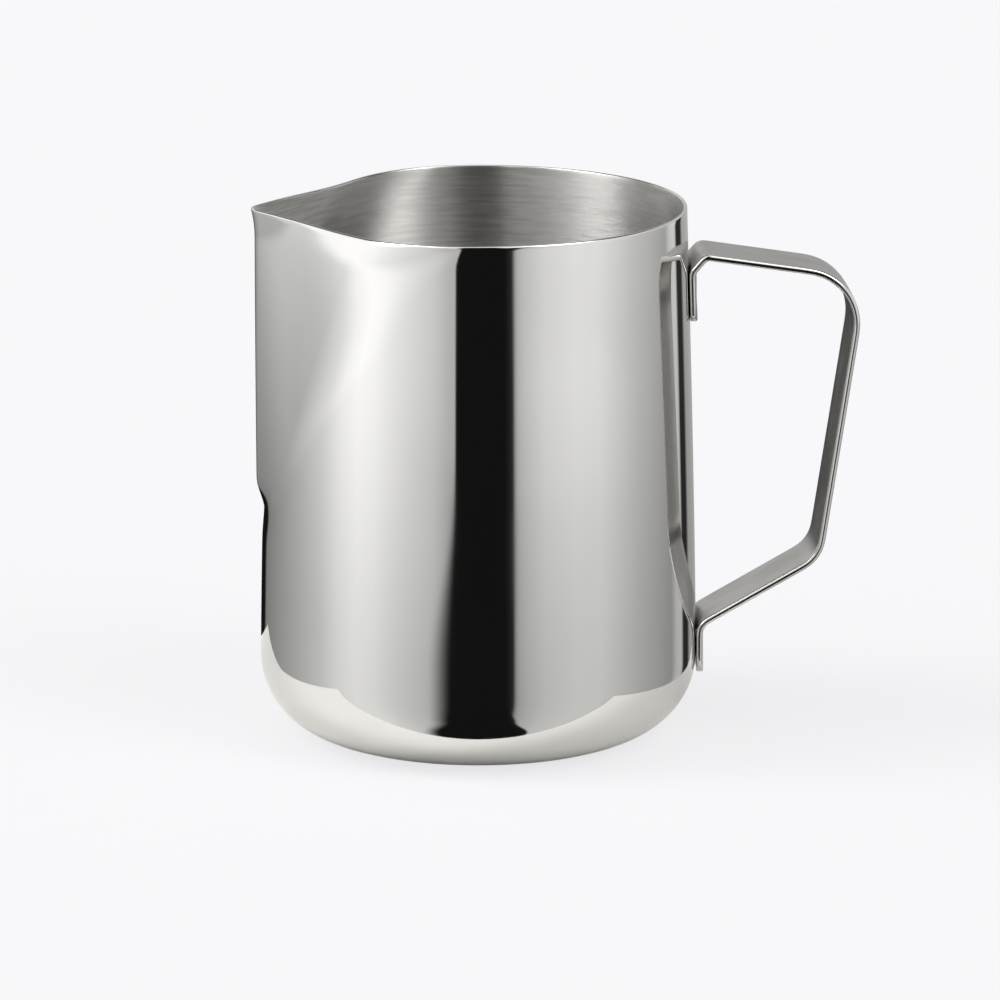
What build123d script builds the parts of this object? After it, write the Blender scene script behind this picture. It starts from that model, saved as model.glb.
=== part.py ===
from build123d import *
import os
from math import acos, atan, atan2, cos, pi, radians, sin, sqrt

# Milk frothing pitcher, 600 ml: a seamless stainless steel body with a pressed spout, and a strip
# handle that is spot-welded to it by two feet.
# Frame: millimetres, +Z up, origin at the centre of the base on the body's axis. The spout points
# along -X and the handle along +X, and the pitcher is symmetric about the plane y = 0.

# Body, outer sizes
body_height = 110.0  # flat rim above the surface that the pitcher stands on
belly_radius = 45.0  # largest outer radius, just above the base curve
rim_taper = 2.4  # how much smaller the outer radius is at the rim
taper_power = 1.3  # how the taper quickens towards the rim
base_curve_radius = 16.0  # round between the side and the base
wall = 0.8  # sheet thickness of side and base
rim_round = 0.35  # polished round on each edge of the rim
rim_radius = belly_radius - rim_taper

# Base panel, pressed up so that the pitcher stands on a ring
panel_rise = 1.0
panel_slope_width = 2.0  # width of the slope between the ring and the raised panel
ring_width = 4.0  # of the flat ring that the pitcher stands on, inside the base curve
panel_radius = belly_radius - base_curve_radius - ring_width

# Spout, pressed out of the side
spout_root_height = 46.5  # where the ridge leaves the round side
spout_ramp_height = 7.0  # height over which the ridge comes out to its full reach
spout_root_proud = 1.2  # how far the ridge stands out of the round side, in line with the root
spout_rim_proud = 3.1  # and at the rim, where the flare of the lip is added
spout_lip_height = 6.0
spout_lip_flare = 0.8  # how far the lip flares outwards over that height
spout_tip_radius = 5.0
spout_knee_inset = 8.6  # how much smaller than the rim's radius the knee's is
spout_knee_radius = rim_radius - spout_knee_inset  # where a flank runs back into the round side
flank_pinch_start = 15.5  # height above the root where the flanks start to be pressed in
flank_pinch_angle = 12.0  # turn of each flank at the rim, in degrees past its tangent
flank_pinch_power = 1.3

# Handle, one bent strip of flat bar. Reaches are from the axis to the middle of the strip.
strip_width = 16.0
strip_thickness = 1.5
strip_edge_round = 0.6
foot_gap = 0.05  # between a foot and the wall, bridged by the welds
foot_corner_radius = 3.0
upper_foot_drop = 13.4  # from the rim down to the top of the upper foot
upper_foot_length = 10.6
riser_rise = 3.3  # from the top of the upper foot to the start of the top bar
riser_run = 2.8
top_bar_slope = 0.152  # fall over run, outwards
grip_slope = 0.15  # inward lean over fall, downwards
finger_depth = 35.65  # from the wall at the upper foot to the corner above the grip
lower_bar_slope = 0.567  # fall over run, inwards
lower_foot_rise = 6.4  # from the top of the base curve to the top of the lower foot
lower_foot_length = 10.5
upper_foot_bend = 2.4  # bend radii at the middle of the strip
top_bar_bend = 2.0
top_corner_bend = 11.2
grip_corner_bend = 7.7
lower_foot_bend = 3.5
upper_foot_top = body_height - upper_foot_drop
upper_foot_bottom = upper_foot_top - upper_foot_length
lower_foot_top = base_curve_radius + lower_foot_rise

# Spot welds, two side by side under each foot
weld_radius = 1.8
weld_spacing = 6.5
weld_depth_in_wall = 0.4
weld_depth_in_foot = 0.6
upper_weld_drop = 5.4  # below the top of the upper foot
lower_weld_drop = 3.7  # below the top of the lower foot
dimple_radius = 2.2  # shallow mark that the electrode leaves on the foot
dimple_floor_radius = 1.7
dimple_depth = 0.15

section_points = 72  # points round one cross-section of the body
spout_crowding = 0.55  # how far the points crowd towards the spout, from 0 to 1
round_steps = 3  # cross-sections up the round part of the body
spout_steps = 7  # and up the part with the spout
ring_steps = 6  # straight steps of a ring that follows the side
largest_round = 0.45  # share of a sheet's thickness that a round on its edge may take
overlap = 5.0  # how far cutting solids run past what they cut


def side_radius(height):
    """Outer radius of the round side at a height, with the base curve left out."""
    rise = max(0.0, (height - base_curve_radius) / (body_height - base_curve_radius))
    return belly_radius - (belly_radius - rim_radius) * min(rise, 1.0) ** taper_power


def ridge_reach(height):
    """Distance from the axis to the spout's ridge at a height."""
    above_root = height - spout_root_height
    if above_root <= 0:
        return side_radius(height)
    ramp = min(1.0, above_root / spout_ramp_height)
    ramp = ramp * ramp * (3 - 2 * ramp)
    along = above_root / (body_height - spout_root_height)
    proud = spout_root_proud + (spout_rim_proud - spout_root_proud) * along
    lip = max(0.0, 1 - (body_height - height) / spout_lip_height)
    return side_radius(height) + proud * ramp + spout_lip_flare * lip * lip


def outline_radius(angle, height, inset):
    """Distance from the axis to the cross-section, by the angle from the spout in radians."""
    side = side_radius(height) - inset
    reach = ridge_reach(height) - inset
    tip = spout_tip_radius - inset
    knee = spout_knee_radius - inset
    if reach <= side:
        return side
    tip_centre = reach - tip
    pinch_start = spout_root_height + flank_pinch_start
    pinch = max(0.0, (height - pinch_start) / (body_height - pinch_start))
    flank_turn = acos((side - tip) / tip_centre) + radians(flank_pinch_angle) * pinch**flank_pinch_power
    flank = tip_centre * cos(flank_turn) + tip
    flank_run = sqrt(max(0.0, (side - knee) ** 2 - (flank - knee) ** 2))
    tip_end = atan2(tip * sin(flank_turn), tip_centre + tip * cos(flank_turn))
    flank_end = flank_turn + atan2(flank_run, flank)
    knee_end = flank_turn + atan2(flank_run, flank - knee)
    if angle < tip_end:
        return tip_centre * cos(angle) + sqrt(tip**2 - (tip_centre * sin(angle)) ** 2)
    if angle < flank_end:
        return flank / cos(angle - flank_turn)
    if angle < knee_end:
        across = (side - knee) * sin(knee_end - angle)
        return (side - knee) * cos(knee_end - angle) + sqrt(knee**2 - across**2)
    return side


def body_section(height, inset):
    """Cross-section of the body at a height, inset from its outer surface."""
    points = []
    for index in range(section_points):
        turn = 2 * pi * index / section_points
        around = turn - spout_crowding * sin(turn)
        radius = outline_radius(min(around, 2 * pi - around), height, inset)
        points.append((-radius * cos(around), -radius * sin(around), height))
    return Face(Wire([Edge.make_spline([Vector(*point) for point in points], periodic=True)]))


def even_heights(low, high, count):
    """Heights in even steps, both ends included."""
    return [low + (high - low) * step / count for step in range(count + 1)]


def vessel(floor, inset, curve_radius):
    """Closed solid of the body's form, from its floor to the rim, inset from its outer surface."""
    ramp_top = spout_root_height + spout_ramp_height
    lip_start = body_height - spout_lip_height
    round_heights = even_heights(floor, spout_root_height, round_steps)
    spout_heights = [spout_root_height] + even_heights(ramp_top, lip_start, spout_steps) + [body_height]
    round_part = loft([body_section(height, inset) for height in round_heights])
    spout_part = loft([body_section(height, inset) for height in spout_heights])
    whole = round_part + spout_part
    return fillet(whole.edges().sort_by(Axis.Z)[0], curve_radius)


def raised_panel(floor, thickness):
    """Flat cone that lifts a floor inside the ring that the pitcher stands on."""
    top_radius = panel_radius - panel_slope_width + thickness
    standing = (Align.CENTER, Align.CENTER, Align.MIN)
    lift = Cone(panel_radius + thickness, top_radius, panel_rise, align=standing)
    return Pos(0, 0, floor) * lift


def make_shell():
    """Seamless body: an even wall, a raised base panel and a rounded rim."""
    outside = vessel(0.0, 0.0, base_curve_radius) - raised_panel(0.0, 0.0)
    inside = vessel(wall, wall, base_curve_radius - wall) - raised_panel(wall, wall)
    shell = outside - inside
    rim_edges = shell.edges().filter_by_position(Axis.Z, body_height - wall / 2, body_height + wall / 2)
    return fillet(rim_edges, min(rim_round, wall * largest_round))


def wall_ring(gap, thickness, low, high):
    """Ring that follows the round side between two heights, outside it by a gap."""
    heights = even_heights(low, high, ring_steps)
    inner = [(side_radius(height) + gap, height) for height in heights]
    outer = [(reach + thickness, height) for reach, height in reversed(inner)]
    profile = Polyline(*inner, *outer, close=True)
    return revolve(make_face(Plane.XZ * profile), Axis.Z)


def foot_reach(height):
    """Reach of the strip's middle where it lies along the wall, so that its faces meet the curved foot."""
    flat_half_width = strip_width / 2 - strip_edge_round
    foot_outside = side_radius(height) + foot_gap + strip_thickness
    return sqrt(foot_outside**2 - flat_half_width**2) - strip_thickness / 2


def handle_points():
    """Corners of the strip's middle line as (reach, height), from the upper foot to the lower one."""
    upper_end = (foot_reach(upper_foot_bottom), upper_foot_bottom)
    upper_bend = (foot_reach(upper_foot_top), upper_foot_top)
    top_bar_start = (upper_bend[0] + riser_run, upper_bend[1] + riser_rise)
    corner_reach = side_radius(upper_foot_top) + finger_depth
    corner_height = top_bar_start[1] - top_bar_slope * (corner_reach - top_bar_start[0])
    top_corner = (corner_reach, corner_height)
    lower_reach = foot_reach(base_curve_radius)
    lower_bar_rise = lower_bar_slope * (corner_reach - lower_reach)
    grip_drop = (corner_height - lower_foot_top - lower_bar_rise) / (1 - lower_bar_slope * grip_slope)
    grip_corner = (corner_reach - grip_slope * grip_drop, corner_height - grip_drop)
    lower_bend = (lower_reach, lower_foot_top)
    lower_end = (lower_reach, lower_foot_top - lower_foot_length)
    return [upper_end, upper_bend, top_bar_start, top_corner, grip_corner, lower_bend, lower_end]


def foot_corner_cutter(end_height):
    """Solid that rounds the two lower corners of a foot that ends at a height."""
    reach = foot_reach(end_height)
    block = Box(4 * strip_thickness, strip_width + overlap, 2 * foot_corner_radius)
    tongue = Plane.YZ * RectangleRounded(strip_width, 4 * foot_corner_radius, foot_corner_radius)
    tongue = extrude(tongue, 2 * overlap, both=True)
    tongue = Pos(0, 0, 2 * foot_corner_radius) * tongue
    return Pos(reach, 0, end_height) * (block - tongue)


def curved_foot(bend, neighbour, end):
    """Part of a foot that is pressed to the wall's curve, up to the middle of the bar that leaves it."""
    low, high = end[1], bend[1] + strip_thickness
    ring = wall_ring(foot_gap, strip_thickness, low, high)
    flat_width = strip_width - 2 * strip_edge_round
    block = Pos(bend[0], 0, (low + high) / 2) * Box(2 * overlap, flat_width, high - low)
    angle = atan((neighbour[1] - bend[1]) / (neighbour[0] - bend[0])) * 180 / pi
    above = Pos(bend[0], 0, bend[1]) * Rot(0, -angle, 0) * Box(
        4 * overlap, strip_width, 2 * overlap, align=(Align.CENTER, Align.CENTER, Align.MIN)
    )
    return ring & block - above


def make_strip():
    """Handle without its weld pockets: a swept flat bar with both feet pressed to the wall's curve."""
    points = handle_points()
    bends = [upper_foot_bend, top_bar_bend, top_corner_bend, grip_corner_bend, lower_foot_bend]
    path = Plane.XZ * FilletPolyline(*points, radius=bends)
    section = Plane(path @ 0, z_dir=path % 0, x_dir=(0, 1, 0)) * Rectangle(strip_width, strip_thickness)
    bar = sweep(section, path)
    ends = bar.faces().filter_by(lambda face: abs(face.area - strip_width * strip_thickness) < foot_gap)
    end_edges = [edge for face in ends for edge in face.edges()]
    side_edges = bar.edges().filter_by(lambda edge: abs(abs(edge.center().Y) - strip_width / 2) < foot_gap)
    long_edges = [edge for edge in side_edges if edge not in end_edges]
    bar = fillet(long_edges, min(strip_edge_round, strip_thickness * largest_round))
    upper_foot = curved_foot(points[1], points[2], points[0])
    lower_foot = curved_foot(points[-2], points[-3], points[-1])
    bar = bar + upper_foot + lower_foot
    bar = bar - foot_corner_cutter(points[0][1]) - foot_corner_cutter(points[-1][1])
    lowest, highest = points[-1][1] - overlap, points[1][1] + overlap
    inner_side = wall_ring(foot_gap - overlap, overlap, lowest, highest)
    return bar - inner_side


def weld_pair(height):
    """Two weld nuggets side by side, each sunk in the wall and in the foot."""
    wall_reach = sqrt(side_radius(height) ** 2 - (weld_spacing / 2) ** 2)
    length = weld_depth_in_wall + foot_gap + weld_depth_in_foot
    nugget = Rot(0, 90, 0) * Cylinder(weld_radius, length, align=(Align.CENTER, Align.CENTER, Align.MIN))
    start = wall_reach - weld_depth_in_wall
    return [Pos(start, side * weld_spacing / 2, height) * nugget for side in (-1, 1)]


def electrode_dimples(height):
    """Shallow round marks on the outside of a foot, one over each nugget."""
    foot_outside = side_radius(height) + foot_gap + strip_thickness
    foot_face = sqrt(foot_outside**2 - (weld_spacing / 2) ** 2)
    flare = dimple_radius - dimple_floor_radius
    standing = (Align.CENTER, Align.CENTER, Align.MIN)
    mark = Rot(0, 90, 0) * Cone(dimple_floor_radius, dimple_radius + flare, 2 * dimple_depth, align=standing)
    return [Pos(foot_face - dimple_depth, side * weld_spacing / 2, height) * mark for side in (-1, 1)]


upper_weld_height = upper_foot_top - upper_weld_drop
lower_weld_height = lower_foot_top - lower_weld_drop
upper_welds = weld_pair(upper_weld_height)
lower_welds = weld_pair(lower_weld_height)

pitcher_body = make_shell()
handle = make_strip()
for nugget in upper_welds + lower_welds:
    pitcher_body = pitcher_body - nugget
    handle = handle - nugget
for dimple in electrode_dimples(upper_weld_height) + electrode_dimples(lower_weld_height):
    handle = handle - dimple

nodes = {
    "pitcher_body": pitcher_body,
    "handle": handle,
    "upper_foot_welds": Compound(children=upper_welds),
    "lower_foot_welds": Compound(children=lower_welds),
}
os.makedirs("parts", exist_ok=True)
for name, shape in nodes.items():
    export_step(shape, f"parts/{name}.step")
    print(name, "solids", len(shape.solids()), "volume", round(shape.volume, 1))
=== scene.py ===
"""Looks of a stainless steel milk frothing pitcher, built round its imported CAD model.

The body and the handle are modelled here as fine meshes that stand for the CAD nodes of the same
names, and the weld nuggets keep their CAD shape. Sizes are in metres, +Z up, with the origin at
the centre of the base, the spout along -X and the handle along +X.
"""

import logging
from collections.abc import Callable
from dataclasses import dataclass
from enum import Enum
from math import acos, atan2, cos, degrees, exp, pi, radians, sin, sqrt, tan

import bpy
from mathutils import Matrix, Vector


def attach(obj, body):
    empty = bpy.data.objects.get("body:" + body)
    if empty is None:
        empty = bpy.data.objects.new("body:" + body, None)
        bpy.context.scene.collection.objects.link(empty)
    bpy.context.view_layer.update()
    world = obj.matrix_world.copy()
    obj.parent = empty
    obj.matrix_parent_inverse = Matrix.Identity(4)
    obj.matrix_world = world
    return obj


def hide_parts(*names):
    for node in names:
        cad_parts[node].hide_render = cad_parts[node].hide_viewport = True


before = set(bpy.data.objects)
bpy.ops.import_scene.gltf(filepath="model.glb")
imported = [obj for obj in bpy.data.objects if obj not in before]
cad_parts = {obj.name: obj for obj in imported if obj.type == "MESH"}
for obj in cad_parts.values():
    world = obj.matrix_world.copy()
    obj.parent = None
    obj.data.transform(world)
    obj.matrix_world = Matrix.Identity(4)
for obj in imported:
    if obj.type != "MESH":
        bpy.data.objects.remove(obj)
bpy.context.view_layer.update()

MM = 0.001
TINY = 1e-9
NEAR = 1e-7
SHARP_ANGLE = radians(60)
SMOOTH_ANGLE = radians(50)
ROOT = "root"

log = logging.getLogger("pitcher")

Colour = tuple[float, float, float]
Triple = tuple[float, float, float]
Step = tuple[float, float, float, float]
Stops = tuple[tuple[float, float], ...]


class Slot(Enum):
    """Material slots that the record names."""

    POLISHED = "polished_steel"
    SATIN = "satin_steel"
    WELD = "weld_steel"


# ---------------------------------------------------------------------------- shader expressions


class Number:
    """A number inside a shader, with Python's arithmetic on it."""

    def __init__(self, graph: "Graph", socket: bpy.types.NodeSocket) -> None:
        """Keeps the socket that gives the number, and the graph that it is in."""
        self.graph = graph
        self.socket = socket

    def math(self, operation: str, *others: "Number | float") -> "Number":
        """Applies a Math node to this number."""
        return self.graph.math(operation, self, *others)

    def __add__(self, other: "Number | float") -> "Number":
        """Sum."""
        return self.math("ADD", other)

    def __sub__(self, other: "Number | float") -> "Number":
        """Difference."""
        return self.math("SUBTRACT", other)

    def __rsub__(self, other: float) -> "Number":
        """Difference with a plain number first."""
        return self.graph.math("SUBTRACT", other, self)

    def __mul__(self, other: "Number | float") -> "Number":
        """Product."""
        return self.math("MULTIPLY", other)

    def __truediv__(self, other: "Number | float") -> "Number":
        """Quotient."""
        return self.math("DIVIDE", other)

    def __pow__(self, other: "Number | float") -> "Number":
        """Power."""
        return self.math("POWER", other)

    def ramp(self, low: float, high: float, start: float = 0.0, end: float = 1.0) -> "Number":
        """Smooth step from one value to another while this number goes from low to high.

        Args:
            low: where the step starts.
            high: where the step ends.
            start: value below low.
            end: value above high.

        Returns:
            The stepped value.
        """
        settings = {"interpolation_type": "SMOOTHSTEP"}
        inputs = {0: self, 1: low, 2: high, 3: start, 4: end}
        return self.graph.number("ShaderNodeMapRange", settings, inputs, 0)


class Graph:
    """The nodes of one material or of the world."""

    def __init__(self, tree: bpy.types.NodeTree) -> None:
        """Starts with an empty node tree."""
        self.tree = tree
        tree.nodes.clear()

    def node(
        self, kind: str, settings: dict[str, object], inputs: dict[object, object]
    ) -> bpy.types.Node:
        """Adds a node.

        Args:
            kind: the node's type.
            settings: the node's own properties, set before its inputs.
            inputs: values or links of its sockets, by name or place.

        Returns:
            The node.
        """
        made = self.tree.nodes.new(kind)
        for name, value in settings.items():
            setattr(made, name, value)
        for key, value in inputs.items():
            if isinstance(value, Number):
                self.tree.links.new(value.socket, made.inputs[key])
            elif isinstance(value, bpy.types.NodeSocket):
                self.tree.links.new(value, made.inputs[key])
            else:
                made.inputs[key].default_value = value
        return made

    def number(
        self, kind: str, settings: dict[str, object], inputs: dict[object, object], output: object
    ) -> Number:
        """Adds a node and gives one of its outputs as a number."""
        return Number(self, self.node(kind, settings, inputs).outputs[output])

    def math(self, operation: str, *values: "Number | float") -> Number:
        """Adds a Math node."""
        return self.number("ShaderNodeMath", {"operation": operation}, dict(enumerate(values)), 0)

    def split(self, vector: bpy.types.NodeSocket) -> list[Number]:
        """Splits a vector into its three numbers."""
        parts = self.node("ShaderNodeSeparateXYZ", {}, {0: vector})
        return [Number(self, socket) for socket in parts.outputs]

    def join(
        self, x: "Number | float", y: "Number | float", z: "Number | float"
    ) -> bpy.types.NodeSocket:
        """Joins three numbers into a vector."""
        return self.node("ShaderNodeCombineXYZ", {}, {0: x, 1: y, 2: z}).outputs[0]

    def noise(self, vector: bpy.types.NodeSocket, w: "Number | float", detail: float) -> Number:
        """Adds a four-dimensional noise of scale 1."""
        inputs = {"Vector": vector, "W": w, "Scale": 1.0, "Detail": detail}
        return self.number("ShaderNodeTexNoise", {"noise_dimensions": "4D"}, inputs, 0)

    def blend(self, factor: Number, low: Colour, high: Colour) -> bpy.types.NodeSocket:
        """Mixes two colours.

        Args:
            factor: 0 for the first, 1 for the second.
            low: first colour.
            high: second colour.

        Returns:
            Socket of the mixed colour.
        """
        mixed = self.node(
            "ShaderNodeMix",
            {"data_type": "RGBA"},
            {"Factor": factor, 6: (*low, 1.0), 7: (*high, 1.0)},
        )
        return mixed.outputs[2]


def start_material(name: str) -> tuple[bpy.types.Material, Graph]:
    """Adds a material with no nodes yet.

    Args:
        name: the material's name.

    Returns:
        The material and its nodes.
    """
    made = bpy.data.materials.new(name)
    made.use_nodes = True
    return made, Graph(made.node_tree)


# ---------------------------------------------------------------------------- finishes


@dataclass(frozen=True)
class Steel:
    """What all the stainless finishes share."""

    name: str
    tint: Colour
    roughness: float

    def dress(self) -> bpy.types.Material:
        """Makes the material.

        Returns:
            The finished material.
        """
        made, graph = start_material(self.name)
        place = graph.node("ShaderNodeTexCoord", {}, {}).outputs["Object"]
        inputs = {"Metallic": 1.0, **self.surface(graph, place)}
        shader = graph.node("ShaderNodeBsdfPrincipled", {}, inputs)
        graph.node("ShaderNodeOutputMaterial", {}, {"Surface": shader.outputs[0]})
        return made

    def surface(self, graph: Graph, place: bpy.types.NodeSocket) -> dict[object, object]:
        """Gives what feeds the shader's sockets.

        Args:
            graph: the material's nodes.
            place: socket of the place on the piece.

        Returns:
            Values and links, by socket name.
        """
        raise NotImplementedError

    def bump(self, graph: Graph, height: Number) -> bpy.types.NodeSocket:
        """Turns a height in metres into a normal."""
        inputs = {"Strength": 1.0, "Distance": 1.0, "Height": height}
        return graph.node("ShaderNodeBump", {}, inputs).outputs[0]

    def dulled(self, share: float) -> Colour:
        """Gives the tint of a duller patch, as a share of the full tint."""
        red, green, blue = self.tint
        return (red * share, green * share, blue * share)


@dataclass(frozen=True)
class MirrorPolish(Steel):
    """Buffed outside of the body: a mirror with the faint trace of the buffing wheel."""

    wave_size: float = 26 * MM
    wave_height: float = 0.009 * MM
    line_pitch: float = 0.16 * MM
    line_height: float = 0.00006 * MM
    line_length: float = 2.0
    line_haze: float = 0.02
    cloud_scale: Triple = (45.0, 45.0, 30.0)
    cloud_edges: tuple[float, float] = (0.45, 0.72)
    haze: float = 0.03
    haze_shade: float = 0.965

    def surface(self, graph: Graph, place: bpy.types.NodeSocket) -> dict[object, object]:
        """Gives the mirror's tint, haze and faint waves.

        Args:
            graph: the material's nodes.
            place: socket of the place on the piece.

        Returns:
            Values and links, by socket name.
        """
        x, y, z = graph.split(place)
        reach = graph.math("SQRT", x * x + y * y + TINY)
        length = self.line_length
        around = graph.join(x / reach * length, y / reach * length, reach / self.line_pitch)
        lines = graph.noise(around, z / self.line_pitch, 2.0)
        even = graph.join(x / self.wave_size, y / self.wave_size, z / self.wave_size * 0.6)
        waves = graph.noise(even, 3.7, 1.0)
        across, deep, high = self.cloud_scale
        cloud = graph.noise(graph.join(x * across, y * deep, z * high), 9.1, 4.0)
        haze = cloud.ramp(*self.cloud_edges)
        height = waves * self.wave_height + lines * self.line_height
        return {
            "Base Color": graph.blend(haze, self.tint, self.dulled(self.haze_shade)),
            "Roughness": haze * self.haze + lines * self.line_haze + self.roughness,
            "Normal": self.bump(graph, height),
        }


@dataclass(frozen=True)
class TurnedBrush(Steel):
    """Brushed inside of the body, with lines that run round the axis."""

    line_pitch: float = 0.30 * MM
    line_height: float = 0.002 * MM
    line_length: float = 9.0
    line_haze: float = 0.08
    line_shade: float = 0.3
    streak_pitch: float = 3.0
    streak_length: float = 4.0
    streak_edges: tuple[float, float] = (0.40, 0.60)
    streak_gloss: float = 0.15
    streak_shade: float = 0.7
    dull_shade: float = 0.76
    floor_reach: float = 30 * MM
    floor_fade: Step = (4 * MM, 30 * MM, 0.3, 1.0)
    anisotropy: float = 1.0
    quarter_turn: float = 0.25

    def surface(self, graph: Graph, place: bpy.types.NodeSocket) -> dict[object, object]:
        """Gives the brushed lines and the wider streaks, which are fainter on the floor.

        Args:
            graph: the material's nodes.
            place: socket of the place on the piece.

        Returns:
            Values and links, by socket name.
        """
        x, y, z = graph.split(place)
        reach = graph.math("SQRT", x * x + y * y + TINY)
        ring_x, ring_y = x / reach, y / reach
        run = z + graph.math("MINIMUM", reach, self.floor_reach)
        fine = graph.join(ring_x * self.line_length, ring_y * self.line_length, 0.0)
        lines = graph.noise(fine, run / self.line_pitch, 3.0)
        wide = graph.join(ring_x * self.streak_length, ring_y * self.streak_length, 0.0)
        streaks = graph.noise(wide, run / (self.line_pitch * self.streak_pitch), 5.0)
        patch = (streaks.ramp(*self.streak_edges) - 0.5) * z.ramp(*self.floor_fade) + 0.5
        bright = patch * self.streak_shade + lines * self.line_shade
        return {
            "Base Color": graph.blend(bright, self.dulled(self.dull_shade), self.tint),
            "Roughness": patch * -self.streak_gloss + lines * self.line_haze + self.roughness,
            "Anisotropic": self.anisotropy,
            "Anisotropic Rotation": self.quarter_turn,
            "Normal": self.bump(graph, lines * self.line_height),
        }


@dataclass(frozen=True)
class StripSatin(Steel):
    """Satin finish of the handle, ground along the strip, with the faint heat ring of each weld."""

    line_pitch: float = 0.22 * MM
    line_height: float = 0.0016 * MM
    stretch: float = 0.025
    cloud_scale: Triple = (90.0, 160.0, 90.0)
    cloud_edges: tuple[float, float] = (0.38, 0.66)
    cloud_shade: float = 0.45
    cloud_haze: float = 0.05
    grain_shade: float = 0.35
    grain_haze: float = 0.10
    dull_shades: Triple = (0.84, 0.82, 0.79)
    welds: tuple[Triple, ...] = ()
    ring_radius: float = 2.9 * MM
    ring_edges: Triple = (0.55, 0.8, 1.25)
    ring_shade: float = 0.45

    def surface(self, graph: Graph, place: bpy.types.NodeSocket) -> dict[object, object]:
        """Gives the grain along the strip, handling haze and the weld rings.

        Args:
            graph: the material's nodes.
            place: socket of the place on the piece.

        Returns:
            Values and links, by socket name.
        """
        x, y, z = graph.split(place)
        along = self.stretch / self.line_pitch
        grain = graph.noise(graph.join(x * along, y / self.line_pitch, z * along), 1.3, 3.0)
        across, deep, high = self.cloud_scale
        cloud = graph.noise(graph.join(x * across, y * deep, z * high), 5.2, 3.0)
        cloud = cloud.ramp(*self.cloud_edges)
        tone = cloud * self.cloud_shade + grain * self.grain_shade
        inner, middle, outer = (self.ring_radius * edge for edge in self.ring_edges)
        for spot_x, spot_y, spot_z in self.welds:
            apart = (x - spot_x) ** 2.0 + (y - spot_y) ** 2.0 + (z - spot_z) ** 2.0
            apart = graph.math("SQRT", apart)
            ring = apart.ramp(inner, middle) * apart.ramp(middle, outer, 1.0, 0.0)
            tone = tone + ring * self.ring_shade
        red, green, blue = (part * shade for part, shade in zip(self.tint, self.dull_shades))
        return {
            "Base Color": graph.blend(tone, self.tint, (red, green, blue)),
            "Roughness": cloud * self.cloud_haze + grain * self.grain_haze + self.roughness,
            "Normal": self.bump(graph, grain * self.line_height),
        }


@dataclass(frozen=True)
class WeldSkin(Steel):
    """Fused metal of a spot weld: rippled and slightly straw-coloured from the heat."""

    ripple: float = 0.35 * MM
    ripple_height: float = 0.012 * MM
    ripple_haze: float = 0.25
    heat_edges: tuple[float, float] = (0.35, 0.7)
    heat_tint: Colour = (0.40, 0.33, 0.22)

    def surface(self, graph: Graph, place: bpy.types.NodeSocket) -> dict[object, object]:
        """Gives the ripples and the heat tint.

        Args:
            graph: the material's nodes.
            place: socket of the place on the piece.

        Returns:
            Values and links, by socket name.
        """
        x, y, z = graph.split(place)
        scale = 1.0 / self.ripple
        ripples = graph.noise(graph.join(x * scale, y * scale, z * scale), 0.4, 3.0)
        heat = ripples.ramp(*self.heat_edges)
        return {
            "Base Color": graph.blend(heat, self.tint, self.heat_tint),
            "Roughness": ripples * self.ripple_haze + self.roughness,
            "Normal": self.bump(graph, ripples * self.ripple_height),
        }


@dataclass(frozen=True)
class StudioPaint:
    """Matt paint of the floor and of the block under the pitcher."""

    name: str
    shade: Colour
    glow: float
    glow_tint: tuple[float, ...] = (0.981, 0.981, 1.0, 1.0)
    roughness: float = 0.9
    grain: float = 0.012
    grain_scale: float = 700.0

    def dress(self) -> bpy.types.Material:
        """Makes the material.

        Returns:
            The finished material.
        """
        made, graph = start_material(self.name)
        place = graph.node("ShaderNodeTexCoord", {}, {}).outputs["Object"]
        x, y, z = (part * self.grain_scale for part in graph.split(place))
        mottle = graph.noise(graph.join(x, y, z), 2.0, 3.0)
        red, green, blue = (part * (1.0 - self.grain) for part in self.shade)
        inputs = {
            "Base Color": graph.blend(mottle, self.shade, (red, green, blue)),
            "Roughness": self.roughness,
            "Specular IOR Level": 0.0,
            "Emission Color": self.glow_tint,
            "Emission Strength": self.glow,
        }
        shader = graph.node("ShaderNodeBsdfPrincipled", {}, inputs)
        graph.node("ShaderNodeOutputMaterial", {}, {"Surface": shader.outputs[0]})
        return made


# ---------------------------------------------------------------------------- modelling helpers


def smooth_step(value: float) -> float:
    """Smooth step of a value between 0 and 1.

    Args:
        value: any number; below 0 counts as 0 and above 1 as 1.

    Returns:
        0 to 1, level at both ends.
    """
    held = min(max(value, 0.0), 1.0)
    return held * held * (3.0 - 2.0 * held)


def start_piece() -> None:
    """Deselects everything, so that the next operators act on a new piece only."""
    bpy.ops.object.select_all(action="DESELECT")


def to_edit(select: str, mode: str) -> None:
    """Goes into edit mode.

    Args:
        select: SELECT or DESELECT, for all of the piece's elements.
        mode: VERT, EDGE or FACE.
    """
    bpy.ops.object.mode_set(mode="EDIT")
    bpy.ops.mesh.select_mode(type=mode)
    bpy.ops.mesh.select_all(action=select)


def pick_edges(piece: bpy.types.Object, test: Callable[[Vector, Vector], bool]) -> None:
    """Selects the edges whose two ends pass a test, in object mode.

    Args:
        piece: the object.
        test: takes the two ends of an edge.
    """
    mesh = piece.data
    for face in mesh.polygons:
        face.select = False
    for vertex in mesh.vertices:
        vertex.select = False
    for edge in mesh.edges:
        ends = [mesh.vertices[index] for index in edge.vertices]
        edge.select = test(ends[0].co, ends[1].co)
        if edge.select:
            for end in ends:
                end.select = True


def smooth_shade(piece: bpy.types.Object) -> None:
    """Shades a piece smoothly, with its sharp edges kept."""
    start_piece()
    piece.select_set(True)
    bpy.ops.object.shade_smooth_by_angle(angle=SMOOTH_ANGLE)


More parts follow.
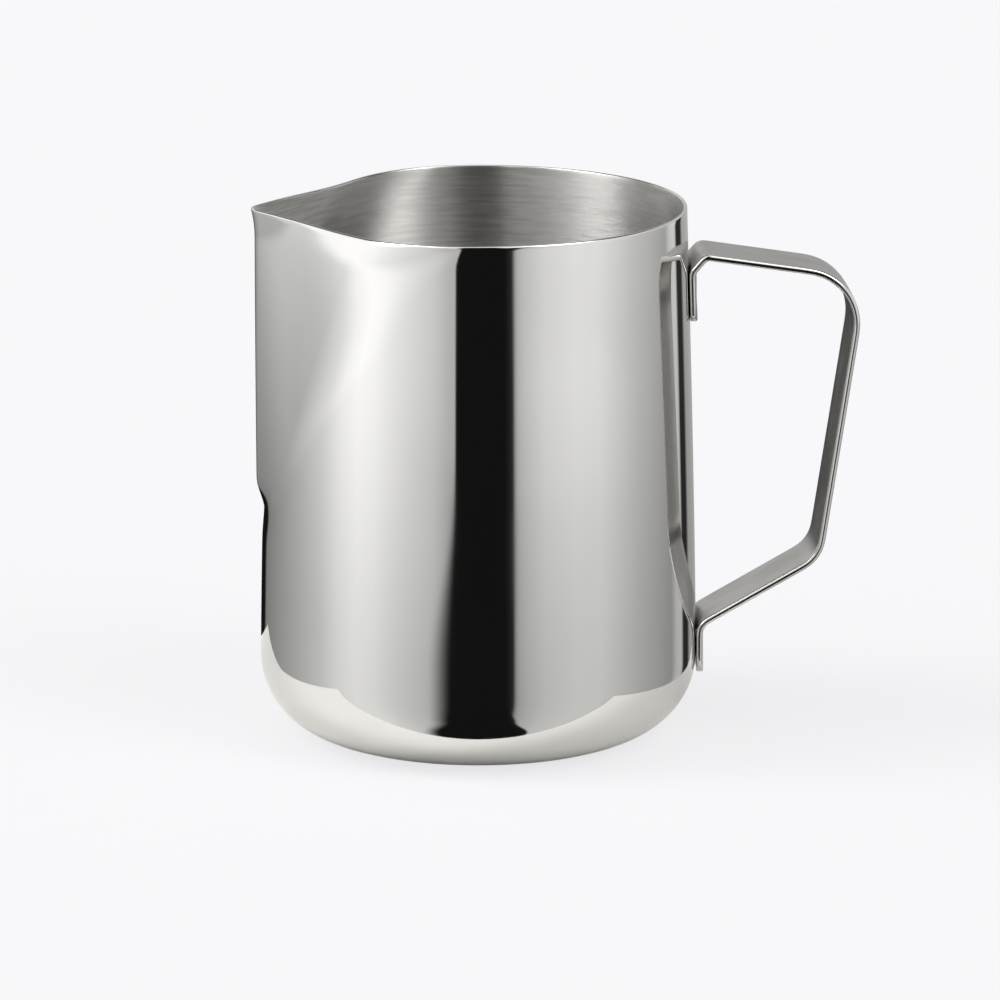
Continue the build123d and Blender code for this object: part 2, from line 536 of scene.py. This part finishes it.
def settle(piece: bpy.types.Object, name: str) -> bpy.types.Object:
    """Applies a piece's place to its mesh and names it.

    Args:
        piece: the object.
        name: its name.

    Returns:
        The same object.
    """
    start_piece()
    piece.select_set(True)
    bpy.context.view_layer.objects.active = piece
    bpy.ops.object.transform_apply(location=True, rotation=True, scale=True)
    piece.name = name
    piece.data.name = name
    return piece


def thicken(
    piece: bpy.types.Object, thickness: float, offset: float, slots: tuple[int, int]
) -> None:
    """Gives a sheet its thickness, with the Solidify modifier applied.

    Args:
        piece: the sheet.
        thickness: sheet thickness.
        offset: -1 for inwards, 0 for both ways.
        slots: material slots of the second side and of the rim, counted from the sheet's own.
    """
    wall = piece.modifiers.new("wall", "SOLIDIFY")
    wall.thickness = thickness
    wall.offset = offset
    wall.use_even_offset = True
    wall.use_quality_normals = True
    wall.material_offset, wall.material_offset_rim = slots
    bpy.context.view_layer.objects.active = piece
    bpy.ops.object.modifier_apply(modifier=wall.name)


# ---------------------------------------------------------------------------- the body


@dataclass
class PitcherBody:
    """Seamless body, drawn from sheet, with a raised base panel and a pressed spout."""

    height: float = 110 * MM
    belly_radius: float = 45 * MM
    rim_radius: float = 42.6 * MM
    taper_power: float = 1.3
    base_curve_radius: float = 16 * MM
    wall: float = 0.8 * MM
    rim_round: float = 0.38 * MM

    panel_rise: float = 1.0 * MM
    panel_radius: float = 25 * MM
    panel_slope_width: float = 2.0 * MM
    panel_softening: float = 0.2
    panel_turns: Step = (0.97, 0.84, 0.14, 0.03)

    spout_root_height: float = 46.5 * MM
    spout_ramp_height: float = 7 * MM
    spout_root_proud: float = 1.2 * MM
    spout_rim_proud: float = 3.1 * MM
    spout_lip_height: float = 6 * MM
    spout_lip_flare: float = 0.8 * MM
    spout_tip_radius: float = 5 * MM
    spout_knee_radius: float = 29 * MM
    flank_pinch_start: float = 2.0 * MM
    flank_pinch_angle: float = 12.5
    flank_pinch_power: float = 1.2
    root_dent_depth: float = 0.35 * MM
    root_dent_height: float = 3.5 * MM
    root_dent_angle: float = 9.0
    rim_dip: float = 0.55 * MM
    rim_dip_reach: float = 14 * MM
    rim_dip_angle: float = 42.0
    rim_dip_spread: float = 0.55

    columns: int = 256
    side_step: float = 1.2 * MM
    curve_steps: int = 16
    spout_crowding: float = 0.55
    rim_segments: int = 4
    weld_reach: float = 0.001 * MM
    base_slot: int = 3
    base_height: float = 1.1
    base_facing: float = -0.2

    def side_radius(self, height: float) -> float:
        """Outer radius of the round side.

        Args:
            height: height above the base.

        Returns:
            The radius, with the base curve left out.
        """
        rise = (height - self.base_curve_radius) / (self.height - self.base_curve_radius)
        held = min(max(rise, 0.0), 1.0)
        return self.belly_radius - (self.belly_radius - self.rim_radius) * held**self.taper_power

    def ridge_reach(self, height: float) -> float:
        """Distance from the axis to the spout's ridge.

        Args:
            height: height above the base.

        Returns:
            The distance.
        """
        above_root = height - self.spout_root_height
        if above_root <= 0:
            return self.side_radius(height)
        ramp = smooth_step(above_root / self.spout_ramp_height)
        along = above_root / (self.height - self.spout_root_height)
        proud = self.spout_root_proud + (self.spout_rim_proud - self.spout_root_proud) * along
        lip = max(0.0, 1 - (self.height - height) / self.spout_lip_height)
        return self.side_radius(height) + proud * ramp + self.spout_lip_flare * lip * lip

    def outline_radius(self, angle: float, height: float) -> float:
        """Distance from the axis to the outside: a round side with a rounded spout run into it.

        Args:
            angle: angle from the spout, in radians.
            height: height above the base.

        Returns:
            The distance.
        """
        side = self.side_radius(height)
        reach = self.ridge_reach(height)
        if reach <= side:
            return side
        tip, knee = self.spout_tip_radius, self.spout_knee_radius
        tip_centre = reach - tip
        pinch_start = self.spout_root_height + self.flank_pinch_start
        pinch = max(0.0, (height - pinch_start) / (self.height - pinch_start))
        turn = acos((side - tip) / tip_centre)
        turn += radians(self.flank_pinch_angle) * pinch**self.flank_pinch_power
        flank = tip_centre * cos(turn) + tip
        run = sqrt(max(0.0, (side - knee) ** 2 - (flank - knee) ** 2))
        if angle < atan2(tip * sin(turn), tip_centre + tip * cos(turn)):
            return tip_centre * cos(angle) + sqrt(tip**2 - (tip_centre * sin(angle)) ** 2)
        if angle < turn + atan2(run, flank):
            return flank / cos(angle - turn)
        knee_end = turn + atan2(run, flank - knee)
        if angle < knee_end:
            across = (side - knee) * sin(knee_end - angle)
            return (side - knee) * cos(knee_end - angle) + sqrt(knee**2 - across**2)
        return side

    def root_dent(self, angle: float, height: float) -> float:
        """Depth of the soft hollow that the press leaves at the spout's root.

        Args:
            angle: angle from the spout, in radians.
            height: height above the base.

        Returns:
            How far the outside is pressed in.
        """
        up = (height - self.spout_root_height) / self.root_dent_height
        aside = degrees(angle) / self.root_dent_angle
        return self.root_dent_depth * exp(-up * up - aside * aside)

    def rim_drop(self, angle: float, height: float) -> float:
        """How far the press draws the rim down on each side of the spout.

        Args:
            angle: angle from the spout, in radians.
            height: height above the base.

        Returns:
            The drop, which fades out below the rim.
        """
        aside = (degrees(angle) - self.rim_dip_angle) / (self.rim_dip_angle * self.rim_dip_spread)
        near_rim = smooth_step(1.0 - (self.height - height) / self.rim_dip_reach)
        return self.rim_dip * exp(-aside * aside) * near_rim

    def rings(self) -> list[tuple[float, float]]:
        """Rings of the outside from the raised panel's edge to the rim.

        Returns:
            Radius and height of each ring.
        """
        foot = self.belly_radius - self.base_curve_radius
        slope_top = self.panel_radius - self.panel_slope_width
        soft = self.panel_slope_width * self.panel_softening
        heights = [self.panel_rise * part for part in self.panel_turns]
        rings = [
            (slope_top - soft, self.panel_rise),
            (slope_top, heights[0]),
            (slope_top + soft, heights[1]),
            (self.panel_radius - soft, heights[2]),
            (self.panel_radius, heights[3]),
            (self.panel_radius + soft, 0.0),
            (foot, 0.0),
        ]
        for step in range(1, self.curve_steps + 1):
            turn = 0.5 * pi * step / self.curve_steps
            rise = self.base_curve_radius * (1 - cos(turn))
            rings.append((foot + self.base_curve_radius * sin(turn), rise))
        count = round((self.height - self.base_curve_radius) / self.side_step)
        for step in range(1, count + 1):
            height = self.base_curve_radius + (self.height - self.base_curve_radius) * step / count
            rings.append((self.side_radius(height), height))
        return rings

    def turn(self) -> bpy.types.Object:
        """Draws the outside ring by ring from a disc.

        Returns:
            The round body, with no spout and no thickness yet.
        """
        rings = self.rings()
        start_piece()
        radius, height = rings[0]
        bpy.ops.mesh.primitive_circle_add(
            vertices=self.columns, radius=radius, fill_type="TRIFAN", location=(0, 0, height)
        )
        piece = bpy.context.object
        bpy.ops.object.transform_apply(location=True, rotation=True, scale=True)
        to_edit("DESELECT", "EDGE")
        bpy.ops.mesh.select_non_manifold()
        for (radius, height), (next_radius, next_height) in zip(rings, rings[1:]):
            bpy.ops.mesh.extrude_edges_move(
                TRANSFORM_OT_translate={"value": (0, 0, next_height - height)}
            )
            share = next_radius / radius
            bpy.ops.transform.resize(value=(share, share, 1), center_override=(0, 0, next_height))
        bpy.ops.object.mode_set(mode="OBJECT")
        return piece

    def press_spout(self, piece: bpy.types.Object) -> None:
        """Crowds the columns towards the spout and presses the spout out of the side.

        Args:
            piece: the round body.
        """
        for vertex in piece.data.vertices:
            x, y, z = vertex.co
            reach = sqrt(x * x + y * y)
            if reach < MM:
                continue
            turn = atan2(-y, -x) % (2 * pi)
            around = turn - self.spout_crowding * sin(turn)
            angle = min(around, 2 * pi - around)
            if z > self.base_curve_radius:
                reach = self.outline_radius(angle, z)
            reach -= self.root_dent(angle, z)
            z -= self.rim_drop(angle, z)
            vertex.co = (-reach * cos(around), -reach * sin(around), z)

    def finish_rim(self, piece: bpy.types.Object) -> None:
        """Levels the rim and rounds its two edges.

        Args:
            piece: the body with its wall.
        """
        for vertex in piece.data.vertices:
            vertex.co.z = min(vertex.co.z, self.height)
        to_edit("DESELECT", "EDGE")
        bpy.ops.mesh.edges_select_sharp(sharpness=SHARP_ANGLE)
        bpy.ops.mesh.bevel(offset=self.rim_round, segments=self.rim_segments, profile=0.5, affect="EDGES")
        bpy.ops.object.mode_set(mode="OBJECT")

    def build(self) -> bpy.types.Object:
        """Models the body.

        Returns:
            The body's object.
        """
        piece = self.turn()
        to_edit("SELECT", "FACE")
        bpy.ops.mesh.remove_doubles(threshold=self.weld_reach)
        bpy.ops.mesh.normals_make_consistent(inside=False)
        bpy.ops.object.mode_set(mode="OBJECT")
        self.press_spout(piece)
        for finish in self.finishes():
            piece.data.materials.append(finish.dress())
        thicken(piece, self.wall, -1.0, (1, 2))
        self.finish_rim(piece)
        foot = self.belly_radius - self.base_curve_radius
        for face in piece.data.polygons:
            low = face.center.z < self.panel_rise * self.base_height
            under = face.normal.z < self.base_facing
            if low and under and face.center.xy.length < foot + MM:
                face.material_index = self.base_slot
        smooth_shade(piece)
        return settle(piece, "body_shell")

    def finishes(self) -> list[Steel]:
        """Finishes of the outside, the inside, the rim and the base."""
        return [
            MirrorPolish("mirror_polish", (0.735, 0.73, 0.715), 0.035),
            TurnedBrush("brushed_inside", (0.75, 0.74, 0.72), 0.45),
            MirrorPolish("buffed_rim", (0.76, 0.755, 0.745), 0.12),
            TurnedBrush("turned_base", (0.60, 0.59, 0.575), 0.30, line_pitch=0.2 * MM),
        ]


# ---------------------------------------------------------------------------- the handle


@dataclass
class StripHandle:
    """Bent flat strip with both feet pressed to the wall's curve."""

    body: PitcherBody
    width: float = 16 * MM
    thickness: float = 1.5 * MM
    edge_round: float = 0.6 * MM
    crown: float = 0.10 * MM
    crown_power: float = 2.5
    foot_gap: float = 0.05 * MM
    foot_corner_radius: float = 3.0 * MM
    foot_blend: float = 3.2 * MM
    upper_foot_bottom: float = 86 * MM
    upper_foot_top: float = 96.6 * MM
    riser_rise: float = 3.3 * MM
    riser_run: float = 2.8 * MM
    top_bar_slope: float = 0.152
    grip_slope: float = 0.15
    finger_depth: float = 35.65 * MM
    grip_drop: float = 58.53 * MM
    lower_bar_slope: float = 0.567
    lower_foot_length: float = 10.5 * MM
    bends: tuple[float, ...] = (2.4 * MM, 2.0 * MM, 11.2 * MM, 7.7 * MM, 3.5 * MM)
    upper_weld_drop: float = 5.4 * MM
    lower_weld_drop: float = 3.7 * MM
    weld_spacing: float = 6.5 * MM
    dimple_radius: float = 2.2 * MM
    dimple_depth: float = 0.15 * MM
    dimple_flat: float = 0.55
    dimple_slope: float = 0.6
    least_facing: float = 0.5
    least_slant: float = 0.1

    columns: int = 24
    edge_segments: int = 5
    bend_step: float = 9.0
    foot_step: float = 0.55 * MM
    bar_step: float = 3.0 * MM

    def foot_reach(self, height: float) -> float:
        """Reach of the strip's flat middle where it leaves the curved foot.

        Args:
            height: height above the base.

        Returns:
            Distance from the axis.
        """
        flat_half = self.width / 2 - self.edge_round
        outside = self.body.side_radius(height) + self.foot_gap + self.thickness
        return sqrt(outside**2 - flat_half**2) - self.thickness / 2

    def corners(self) -> list[Vector]:
        """Corners of the strip's middle line, from the upper foot's end to the lower one's.

        Returns:
            Points in the plane y = 0.
        """
        reach = self.foot_reach
        upper_end = (reach(self.upper_foot_bottom), self.upper_foot_bottom)
        upper_bend = (reach(self.upper_foot_top), self.upper_foot_top)
        bar_start = (upper_bend[0] + self.riser_run, upper_bend[1] + self.riser_rise)
        out = self.body.side_radius(self.upper_foot_top) + self.finger_depth
        top_corner = (out, bar_start[1] - self.top_bar_slope * (out - bar_start[0]))
        grip_corner = (out - self.grip_slope * self.grip_drop, top_corner[1] - self.grip_drop)
        low = reach(self.body.base_curve_radius)
        lower_bend = (low, grip_corner[1] - self.lower_bar_slope * (grip_corner[0] - low))
        lower_end = (low, lower_bend[1] - self.lower_foot_length)
        points = [upper_end, upper_bend, bar_start, top_corner, grip_corner, lower_bend, lower_end]
        return [Vector((x, 0.0, z)) for x, z in points]

    def line(self, start: Vector, end: Vector, step: float) -> list[Vector]:
        """Even points along a straight run, its first end left out.

        Args:
            start: first end.
            end: last end.
            step: about how far apart.

        Returns:
            The points.
        """
        count = max(1, round((end - start).length / step))
        return [start.lerp(end, index / count) for index in range(1, count + 1)]

    def path(self) -> list[Vector]:
        """Middle line of the strip with its bends rounded.

        Returns:
            Points from the upper foot's end to the lower one's.
        """
        corners = self.corners()
        points = [corners[0]]
        last = len(corners) - 2
        for index, radius in enumerate(self.bends, start=1):
            before, corner, after = corners[index - 1 : index + 2]
            way_in, way_out = (corner - before).normalized(), (after - corner).normalized()
            turn = way_in.angle(way_out)
            back = radius * tan(turn / 2)
            start = corner - way_in * back
            step = self.foot_step if index == 1 else self.bar_step
            points += self.line(points[-1], start, step)
            towards = (way_out - way_in * way_in.dot(way_out)).normalized()
            centre = start + towards * radius
            count = max(3, round(degrees(turn) / self.bend_step))
            for part in range(1, count + 1):
                swept = turn * part / count
                points.append(centre - towards * radius * cos(swept) + way_in * radius * sin(swept))
            if index == last:
                points += self.line(points[-1], corners[-1], self.foot_step)
        return points

    def lay_strip(self, path: list[Vector]) -> bpy.types.Object:
        """Lays a flat ribbon along the middle line.

        Args:
            path: the middle line.

        Returns:
            The ribbon, with no thickness yet.
        """
        start_piece()
        first, second = path[0], path[1]
        bpy.ops.mesh.primitive_grid_add(
            x_subdivisions=1, y_subdivisions=self.columns, size=1, location=(0, 0, 0)
        )
        piece = bpy.context.object
        for vertex in piece.data.vertices:
            end = second if vertex.co.x > 0 else first
            vertex.co = (end.x, vertex.co.y * self.width, end.z)
        above = first.z + NEAR
        pick_edges(piece, lambda one, other: (one - other).y != 0 and min(one.z, other.z) > above)
        bpy.ops.object.mode_set(mode="EDIT")
        bpy.ops.mesh.select_mode(type="EDGE")
        for here, there in zip(path[1:], path[2:]):
            bpy.ops.mesh.extrude_edges_move(TRANSFORM_OT_translate={"value": tuple(there - here)})
        bpy.ops.mesh.select_all(action="SELECT")
        bpy.ops.mesh.normals_make_consistent(inside=False)
        bpy.ops.object.mode_set(mode="OBJECT")
        return piece

    def fit_feet(self, piece: bpy.types.Object, path: list[Vector]) -> None:
        """Presses both feet to the wall's curve and rounds their ends.

        Args:
            piece: the ribbon.
            path: its middle line; not used.
        """
        corners = self.corners()
        upper_end, upper_bend = corners[0], corners[1]
        lower_bend, lower_end = corners[-2], corners[-1]
        radius = self.foot_corner_radius
        half = self.width / 2
        blend = self.foot_blend
        for vertex in piece.data.vertices:
            x, y, z = vertex.co
            upper = z > (upper_bend.z + lower_bend.z) / 2
            end, bend = (upper_end, upper_bend) if upper else (lower_end, lower_bend)
            if x > bend.x + 2 * blend:
                continue
            from_end = z - end.z
            if from_end < radius:
                left = radius - max(from_end, 0.0)
                y *= (half - radius + sqrt(radius**2 - left**2)) / half
            past = max(0.0, x - bend.x) + max(0.0, z - bend.z)
            held = 1.0 - smooth_step(past / blend)
            middle = self.body.side_radius(z) + self.foot_gap + self.thickness / 2
            pressed = sqrt(middle**2 - y**2) - self.foot_reach(min(z, bend.z))
            vertex.co = (x + held * pressed, y, z)

    def weld_spots(self) -> list[Vector]:
        """Middles of the dimples on the outside of the feet.

        Returns:
            Four points.
        """
        corners = self.corners()
        heights = (self.upper_foot_top - self.upper_weld_drop, corners[-2].z - self.lower_weld_drop)
        spots = []
        for height in heights:
            outside = self.body.side_radius(height) + self.foot_gap + self.thickness
            for side in (-0.5, 0.5):
                y = side * self.weld_spacing
                spots.append(Vector((sqrt(outside**2 - y**2), y, height)))
        return spots

    def crown_faces(self, piece: bpy.types.Object) -> None:
        """Thins the strip a little towards its two edges, as rolled bar is.

        Args:
            piece: the strip with its thickness.
        """
        for vertex in piece.data.vertices:
            across = abs(vertex.co.y) / (self.width / 2)
            flat = Vector((vertex.normal.x, 0.0, vertex.normal.z))
            if flat.length > self.least_slant:
                vertex.co -= flat.normalized() * self.crown * across**self.crown_power

    def press_dimples(self, piece: bpy.types.Object) -> None:
        """Presses the electrode's shallow mark over each weld.

        Args:
            piece: the strip with its thickness.
        """
        spots = self.weld_spots()
        for vertex in piece.data.vertices:
            outwards = Vector((vertex.co.x, vertex.co.y, 0)).normalized()
            if vertex.normal.dot(outwards) < self.least_facing:
                continue
            for spot in spots:
                apart = (vertex.co - spot).length / self.dimple_radius - self.dimple_flat
                if apart < self.dimple_slope:
                    deep = 1.0 - smooth_step(apart / self.dimple_slope)
                    vertex.co -= outwards * self.dimple_depth * deep

    def build(self) -> bpy.types.Object:
        """Models the handle.

        Returns:
            The handle's object.
        """
        path = self.path()
        piece = self.lay_strip(path)
        self.fit_feet(piece, path)
        piece.data.materials.append(self.finish().dress())
        edge = MirrorPolish("tumbled_edge", (0.66, 0.65, 0.635), 0.13)
        piece.data.materials.append(edge.dress())
        thicken(piece, self.thickness, 0.0, (0, 1))
        self.crown_faces(piece)
        to_edit("DESELECT", "EDGE")
        bpy.ops.mesh.edges_select_sharp(sharpness=SHARP_ANGLE)
        bpy.ops.mesh.bevel(
            offset=self.edge_round, segments=self.edge_segments, profile=0.5, affect="EDGES", material=1
        )
        bpy.ops.mesh.select_all(action="SELECT")
        bpy.ops.mesh.normals_make_consistent(inside=False)
        bpy.ops.object.mode_set(mode="OBJECT")
        self.press_dimples(piece)
        smooth = piece.modifiers.new("smooth", "SUBSURF")
        smooth.levels = smooth.render_levels = 1
        bpy.context.view_layer.objects.active = piece
        bpy.ops.object.modifier_apply(modifier=smooth.name)
        smooth_shade(piece)
        return settle(piece, "strip_handle")

    def finish(self) -> StripSatin:
        """Satin finish with a heat ring round each weld."""
        spots = tuple(tuple(spot) for spot in self.weld_spots())
        return StripSatin("strip_satin", (0.53, 0.52, 0.507), 0.24, welds=spots)


# ---------------------------------------------------------------------------- the studio


@dataclass
class Studio:
    """Pale floor, two large softboxes with a dark gap between them, and a long lens."""

    turn: float = -3.8
    elevation: float = 13.47
    distance: float = 1500 * MM
    aim_height: float = 55 * MM
    lens: float = 262.4
    sensor: float = 36.0
    shift: tuple[float, float] = (0.0216, -0.0333)
    clip: tuple[float, float] = (0.05, 100.0)
    floor_size: float = 14.0
    floor_height: float = -0.1 * MM
    backdrop_tint: tuple[float, ...] = (0.921, 0.921, 0.938, 1.0)
    block_height: float = -0.05 * MM
    block_low: tuple[float, float] = (-92 * MM, -46.8 * MM)
    block_high: tuple[float, float] = (75 * MM, 72 * MM)
    low_stops: Stops = (
        (-180.0, 0.0), (-157.0, 0.0), (-153.0, 0.30), (-141.0, 0.38), (-125.0, 0.51), (-109.0, 0.66),
        (-92.0, 0.86), (-79.0, 1.12), (-68.0, 1.24), (-58.0, 1.18), (-46.0, 0.99), (-35.0, 0.85),
        (-24.0, 0.72), (-16.0, 0.56), (-9.0, 0.50), (-8.2, 0.004), (16.5, 0.006), (18.8, 0.03),
        (20.0, 0.52), (25.0, 0.66), (36.0, 0.83), (53.0, 0.93), (68.0, 0.92), (79.0, 0.80),
        (94.0, 0.64), (124.0, 0.42), (130.0, 0.70), (137.0, 0.75), (139.0, 0.02), (147.0, 0.02),
        (150.0, 0.45), (180.0, 0.55),
    )
    high_stops: Stops = (
        (-180.0, 0.30), (-125.0, 0.04), (-112.0, 0.05), (-103.0, 1.50), (-94.0, 8.50),
        (-79.0, 8.00), (-62.0, 1.60), (-20.0, 1.10), (-16.5, 0.01), (12.5, 0.01), (16.0, 1.10),
        (38.0, 1.50), (49.0, 6.00), (65.0, 6.00), (79.0, 1.00), (92.0, 0.06), (115.0, 0.04),
        (180.0, 0.30),
    )
    low_fade: Step = (-14.0, -8.5, 0.76, 1.08)
    low_stretch: Step = (-5.0, 9.0, 1.0, 0.66)
    high_start: tuple[float, float] = (22.0, 32.0)
    overhead: float = 1.05
    overhead_start: tuple[float, float] = (60.0, 78.0)
    light_tint: tuple[float, ...] = (1.0, 0.998, 0.99, 1.0)

    gap_glow: float = 0.008
    gap_sink: Step = (-45.0, -14.0, 1.0, 0.0)
    gap_flare: Step = (-60.0, -40.0, 1.0, 0.0)
    gap_left: Step = (-13.2, -10.3, -14.0, -11.7)
    gap_left_fade: Step = (-13.2, -10.3, 14.0, 1.0)
    gap_left_growth: tuple[float, float] = (3.0, 13.0)
    gap_right: float = 15.0
    gap_right_growth: tuple[float, float] = (8.0, 15.0)
    back_edges: tuple[float, float] = (140.0, 165.0)
    back_gain: Step = (8.0, 48.0, 0.0, 1.6)

    def ring_light(self, graph: Graph, around: Number, stops: Stops) -> Number:
        """Brightness of the studio round the object.

        Args:
            graph: the world's nodes.
            around: share of the full turn, 0.5 straight behind the camera.
            stops: angle from the camera and brightness, in order.

        Returns:
            The brightness.
        """
        strongest = max(level for _, level in stops)
        made = graph.node("ShaderNodeValToRGB", {}, {0: around})
        ramp = made.color_ramp
        while len(ramp.elements) < len(stops):
            ramp.elements.new(0.5)
        for element, (angle, level) in zip(ramp.elements, stops):
            element.position = 0.5 + angle / 360.0
            element.color = (level / strongest,) * 3 + (1.0,)
        return Number(graph, made.outputs[0]) * strongest

    def gap(self, graph: Graph, angle: Number, pitch: Number) -> Number:
        """Dark gap between the two softboxes, which widens towards the floor.

        Args:
            graph: the world's nodes.
            angle: degrees round from the camera.
            pitch: degrees above the horizon.

        Returns:
            0 in the gap and 1 outside it.
        """
        sink, flare = pitch.ramp(*self.gap_sink), pitch.ramp(*self.gap_flare)
        sunk, flared = self.gap_left_growth
        left = pitch.ramp(*self.gap_left) - sink * sunk - flare * flared
        left_box = ((angle - left) / pitch.ramp(*self.gap_left_fade)).ramp(-1.0, 0.0, 1.0, 0.0)
        sunk, flared = self.gap_right_growth
        right_box = (angle - (sink * sunk + flare * flared + self.gap_right)).ramp(-1.0, 1.0)
        return graph.math("MAXIMUM", left_box, right_box)

    def light(self) -> None:
        """Makes the world's soft light: softboxes at the sides, a dark gap, a bright top."""
        world = bpy.data.worlds.new("studio")
        bpy.context.scene.world = world
        world.use_nodes = True
        graph = Graph(world.node_tree)
        way = graph.node("ShaderNodeTexCoord", {}, {}).outputs["Generated"]
        x, y, z = graph.split(way)
        lean = radians(self.turn)
        right = x * cos(lean) + y * sin(lean)
        nearer = x * sin(lean) - y * cos(lean)
        around = graph.math("ARCTAN2", right, nearer) / (2 * pi) + 0.5
        pitch = graph.math("ARCSINE", z) * (180 / pi)
        angle = (around - 0.5) * 360.0
        lifted = (around - 0.5) * pitch.ramp(*self.low_stretch) + 0.5
        low = self.ring_light(graph, lifted, self.low_stops) * pitch.ramp(*self.low_fade)
        low = low * self.gap(graph, angle, pitch) + self.gap_glow
        back = angle.ramp(*self.back_edges) * pitch.ramp(*self.back_gain) + 1.0
        high = self.ring_light(graph, around, self.high_stops) * back
        high_share = pitch.ramp(*self.high_start)
        side = high * high_share + low * (1.0 - high_share)
        up = pitch.ramp(*self.overhead_start)
        level = side * (1.0 - up) + up * self.overhead
        lit = graph.node("ShaderNodeBackground", {}, {"Color": self.light_tint, "Strength": level})
        graph.node("ShaderNodeOutputWorld", {}, {"Surface": lit.outputs[0]})
        world.cycles_visibility.camera = False

    def board(
        self, name: str, low: tuple[float, float], high: tuple[float, float], height: float
    ) -> bpy.types.Object:
        """Adds a flat board, turned with the camera.

        Args:
            name: the board's name.
            low: its lowest x and y.
            high: its highest x and y.
            height: height of its top.

        Returns:
            The board.
        """
        start_piece()
        middle = ((low[0] + high[0]) / 2, (low[1] + high[1]) / 2, height)
        bpy.ops.mesh.primitive_plane_add(size=1, location=(0, 0, 0))
        made = bpy.context.object
        made.scale = (high[0] - low[0], high[1] - low[1], 1)
        made.location = middle
        bpy.ops.object.transform_apply(location=True, rotation=False, scale=True)
        made.rotation_euler = (0, 0, radians(self.turn))
        return settle(made, name)

    def lay_floor(self) -> None:
        """Lays the floor, the block that the pitcher stands on and the backdrop."""
        half = self.floor_size / 2
        floor = self.board("floor", (-half, -half), (half, half), self.floor_height)
        floor_paint = StudioPaint("floor_paint", (0.14, 0.14, 0.142), 0.765)
        floor.data.materials.append(floor_paint.dress())
        floor.visible_glossy = False
        block = self.board("block", self.block_low, self.block_high, self.block_height)
        block_paint = StudioPaint("block_paint", (0.76, 0.75, 0.73), 0.06)
        block.data.materials.append(block_paint.dress())
        block.visible_camera = False
        block.visible_diffuse = False
        block.visible_shadow = False
        start_piece()
        bpy.ops.mesh.primitive_uv_sphere_add(segments=48, ring_count=24, radius=half)
        backdrop = settle(bpy.context.object, "backdrop")
        paint, graph = start_material("backdrop_paint")
        shine = {"Color": self.backdrop_tint, "Strength": 1.0}
        glow = graph.node("ShaderNodeEmission", {}, shine)
        graph.node("ShaderNodeOutputMaterial", {}, {"Surface": glow.outputs[0]})
        backdrop.data.materials.append(paint)
        backdrop.visible_diffuse = False
        backdrop.visible_glossy = False
        backdrop.visible_shadow = False

    def place_camera(self) -> None:
        """Places the camera at the front, a little above the rim."""
        made = bpy.data.cameras.new("camera")
        made.lens = self.lens
        made.sensor_width = self.sensor
        made.shift_x, made.shift_y = self.shift
        made.clip_start, made.clip_end = self.clip
        camera = bpy.data.objects.new("camera", made)
        bpy.context.scene.collection.objects.link(camera)
        flat = self.distance * cos(radians(self.elevation))
        back = Vector((sin(radians(self.turn)) * flat, -cos(radians(self.turn)) * flat, 0))
        back.z = self.distance * sin(radians(self.elevation))
        aim = Vector((0, 0, self.aim_height))
        camera.location = aim + back
        camera.rotation_mode = "QUATERNION"
        camera.rotation_quaternion = (-back).to_track_quat("-Z", "Y")
        bpy.context.scene.camera = camera

    def build(self) -> None:
        """Sets up the camera, the light and the floor."""
        self.place_camera()
        self.light()
        self.lay_floor()
        bpy.context.scene.view_settings.view_transform = "Standard"


# ---------------------------------------------------------------------------- assembly


def stand_for(piece: bpy.types.Object, node: str) -> None:
    """Lets a modelled piece stand for a CAD node.

    Args:
        piece: the modelled piece.
        node: the CAD node that it replaces.
    """
    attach(piece, ROOT)
    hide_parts(node)
    log.info("%s stands for %s with %d faces", piece.name, node, len(piece.data.polygons))


def dress_welds() -> None:
    """Gives the weld nuggets, which keep their CAD shape, their finish."""
    finish = WeldSkin("weld_skin", (0.52, 0.49, 0.44), 0.32).dress()
    for name in ("upper_foot_welds", "lower_foot_welds"):
        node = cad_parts[name]
        node.data.materials.clear()
        node.data.materials.append(finish)
        log.info("%s dressed", name)


def main() -> None:
    """Builds the pieces in order."""
    logging.basicConfig(level=logging.INFO, format="%(name)s: %(message)s")
    studio = Studio()
    studio.build()
    body = PitcherBody()
    stand_for(body.build(), "pitcher_body")
    handle = StripHandle(body)
    stand_for(handle.build(), "handle")
    dress_welds()


if __name__ == "__main__":
    main()
